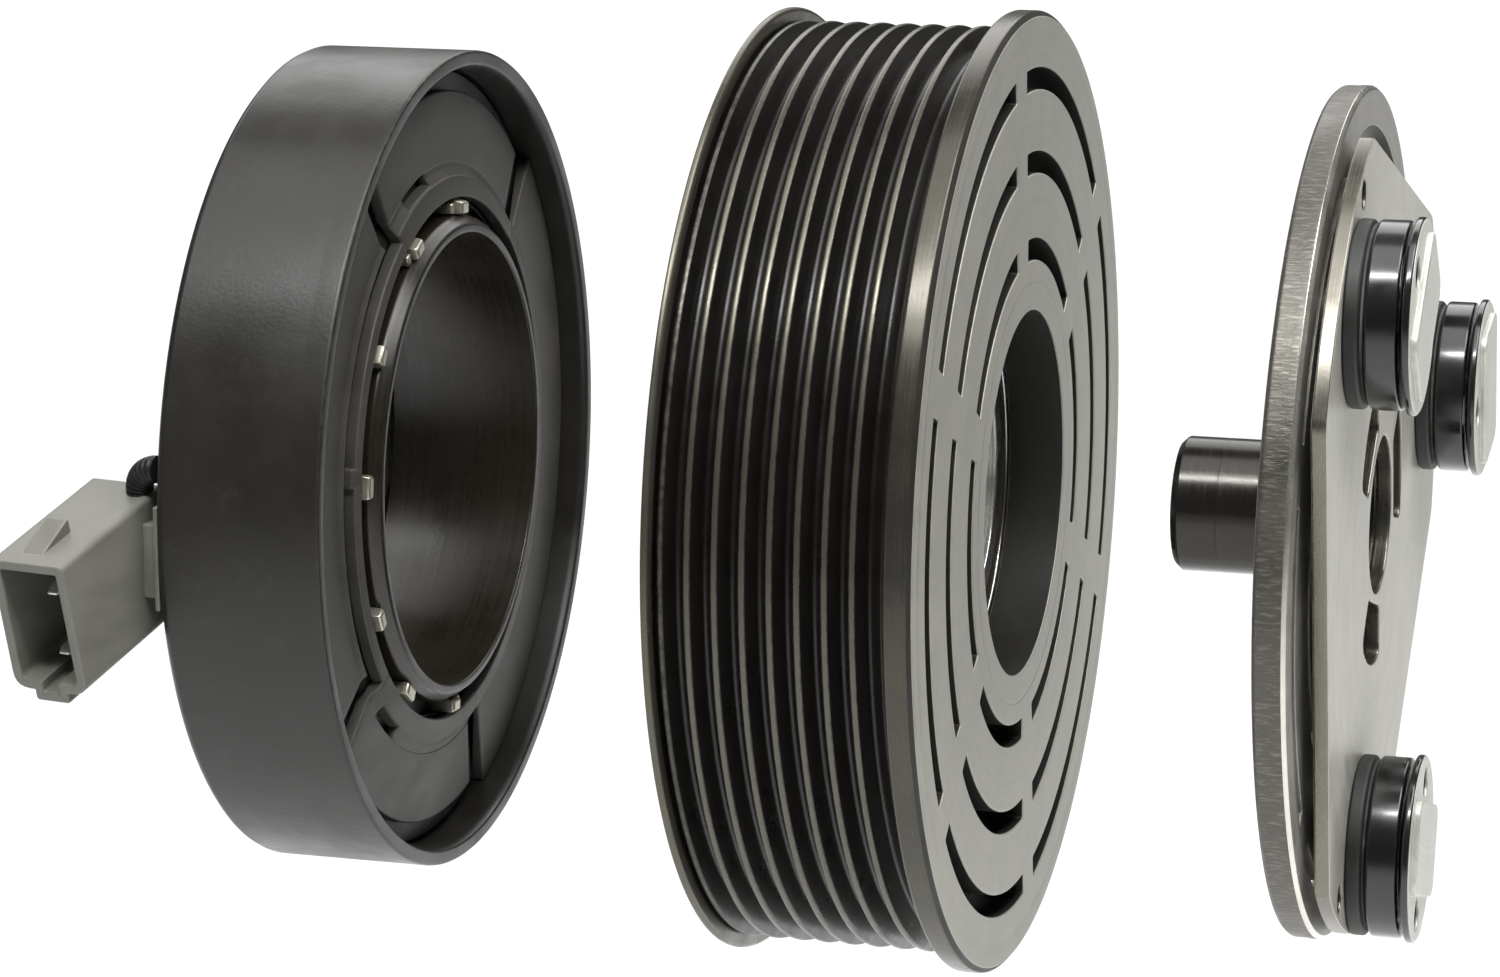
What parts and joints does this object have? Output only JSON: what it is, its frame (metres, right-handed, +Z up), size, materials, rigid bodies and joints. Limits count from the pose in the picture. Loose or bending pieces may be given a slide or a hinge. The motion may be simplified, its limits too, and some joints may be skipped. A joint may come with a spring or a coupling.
{
  "type": "electromagnetic clutch",
  "caption": "Electromagnetic clutch of a vehicle air-conditioning compressor: field coil with connector, ribbed pulley rotor on a ball bearing, damped armature plate, laid out along the shaft.",
  "frame": {"origin": "centre of the pilot hole, at the rear face of the field coil's mounting plate", "axes": "+X along the shaft line towards the armature (front) side, +Z up with the connector on the -Y side"},
  "size_m": [0.1784, 0.139, 0.131],
  "materials": {
    "coil_shell": "satin",
    "zinc_plate": "satin",
    "coil_resin": "matte",
    "lug_metal": "satin",
    "bobbin_plastic": "matte",
    "winding_copper": "satin",
    "spring_steel_gold": "satin",
    "connector_plastic": "matte",
    "terminal_metal": "polished",
    "lead_rubber": "matte",
    "rotor_steel": "satin",
    "bearing_steel": "polished",
    "seal_rubber": "matte",
    "cage_steel": "satin",
    "spring_steel": "satin",
    "boss_steel": "satin",
    "hub_plate_steel": "satin",
    "cup_black": "gloss",
    "damper_rubber": "matte",
    "armature_steel": "satin",
    "cap_steel": "satin"
  },
  "bodies": {
    "field_coil": {"mounting_plate": "zinc_plate", "locating_pin": "bearing_steel", "coil_housing": "coil_shell", "coil_bobbin": "bobbin_plastic", "coil_winding": "winding_copper", "coil_cover": "coil_resin", "retaining_lugs": "lug_metal", "coil_snap_ring": "spring_steel_gold", "connector_bracket": "connector_plastic", "connector_housing": "connector_plastic", "connector_terminal_1": "terminal_metal", "connector_terminal_2": "terminal_metal", "lead_boot": "lead_rubber"},
    "bearing_inner": {"bearing_inner_ring": "bearing_steel"},
    "rotor": {"rotor_pulley": "rotor_steel", "bearing_outer_ring": "bearing_steel", "bearing_rear_seal": "seal_rubber", "bearing_front_seal": "seal_rubber", "bearing_retaining_ring": "spring_steel"},
    "ball_cage": {"bearing_balls_rear": "bearing_steel", "bearing_cage_rear": "cage_steel", "bearing_balls_front": "bearing_steel", "bearing_cage_front": "cage_steel"},
    "shaft_shims": {"gap_shim_1": "spring_steel", "gap_shim_2": "spring_steel"},
    "hub": {"hub_boss": "boss_steel", "hub_plate": "hub_plate_steel", "damper_cup_1": "cup_black", "damper_cup_2": "cup_black", "damper_cup_3": "cup_black", "damper_rubber_1": "damper_rubber", "damper_rubber_2": "damper_rubber", "damper_rubber_3": "damper_rubber"},
    "armature": {"armature_disc": "armature_steel", "damper_pin_1": "lug_metal", "damper_pin_2": "lug_metal", "damper_pin_3": "lug_metal", "damper_cap_1": "cap_steel", "damper_cap_2": "cap_steel", "damper_cap_3": "cap_steel"}
  },
  "joints": [
    {"name": "rotor_seating", "type": "slide", "parent": "field_coil", "child": "bearing_inner", "axis": [-1, 0, 0], "range_m": [0, 0.0707]},
    {"name": "rotor_spin", "type": "hinge", "parent": "bearing_inner", "child": "rotor", "pos_m": [0.0902, 0, 0], "axis": [1, 0, 0], "continuous": true},
    {"name": "cage_spin", "type": "hinge", "parent": "bearing_inner", "child": "ball_cage", "pos_m": [0.0902, 0, 0], "axis": [1, 0, 0], "continuous": true},
    {"name": "armature_seating", "type": "slide", "parent": "bearing_inner", "child": "shaft_shims", "axis": [-1, 0, 0], "range_m": [0, 0.0401]},
    {"name": "hub_spin", "type": "hinge", "parent": "shaft_shims", "child": "hub", "pos_m": [0.1417, 0, 0], "axis": [1, 0, 0], "continuous": true},
    {"name": "armature_pull_in", "type": "slide", "parent": "hub", "child": "armature", "axis": [-1, 0, 0], "range_m": [0, 0.0005], "stiffness_N_per_m": 20000}
  ],
  "couplings": [
    {"joint": "cage_spin", "follows": "rotor_spin", "ratio": 0.5704}
  ]
}
